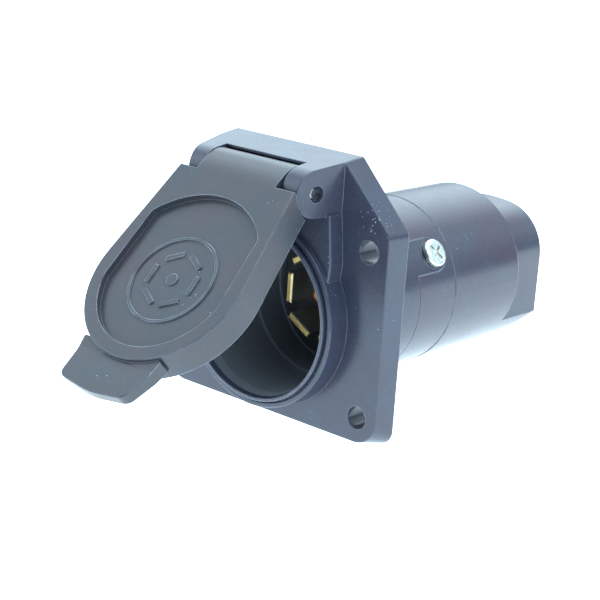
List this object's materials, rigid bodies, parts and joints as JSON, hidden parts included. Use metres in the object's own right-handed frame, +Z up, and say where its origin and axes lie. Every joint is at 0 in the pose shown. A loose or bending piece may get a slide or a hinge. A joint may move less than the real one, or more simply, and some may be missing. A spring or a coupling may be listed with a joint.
{
  "type": "trailer wiring socket",
  "caption": "Flange-mounted round electrical socket with blade contacts, a spring-closed hinged lid and a rear wiring shell with a cable outlet.",
  "frame": {"origin": "on the socket axis, in the rear (mounting) face of the flange", "axes": "+Z up, +Y along the socket axis towards the cable outlet, +X to the right seen from the mouth"},
  "size_m": [0.0736, 0.1565, 0.0703],
  "materials": {
    "black_nylon": "satin",
    "black_nylon_shell": "satin",
    "black_nylon_lid": "satin",
    "carrier_plastic": "matte",
    "black_rubber": "matte",
    "contact_brass": "stamped",
    "zinc_steel": "zinc plated",
    "terminal_steel": "plated",
    "pin_steel": "drawn",
    "spring_steel": "drawn wire"
  },
  "bodies": {
    "socket": {"front_housing": "black_nylon", "rear_shell": "black_nylon_shell", "shell_screws": "zinc_steel", "cable_grommet": "black_rubber", "cable_clamp": "black_nylon_shell", "cable_clamp_screws": "zinc_steel", "contact_carrier": "carrier_plastic", "blade_battery": "contact_brass", "blade_right_turn": "contact_brass", "blade_brakes": "contact_brass", "blade_ground": "contact_brass", "blade_left_turn": "contact_brass", "blade_tail_lights": "contact_brass", "centre_pin": "contact_brass", "terminal_clamps": "contact_brass", "terminal_screws": "terminal_steel", "hinge_pin": "pin_steel", "lid_spring": "spring_steel"},
    "lid": {"lid": "black_nylon_lid", "lid_gasket": "black_rubber"}
  },
  "joints": [
    {"name": "lid_hinge", "type": "hinge", "parent": "socket", "child": "lid", "pos_m": [0, -0.01435, 0.034], "axis": [-1, 0, 0], "range_deg": [-45, 65], "stiffness_Nm_per_rad": 0.03, "springref_deg": -105, "deforming": ["lid_spring"]}
  ]
}
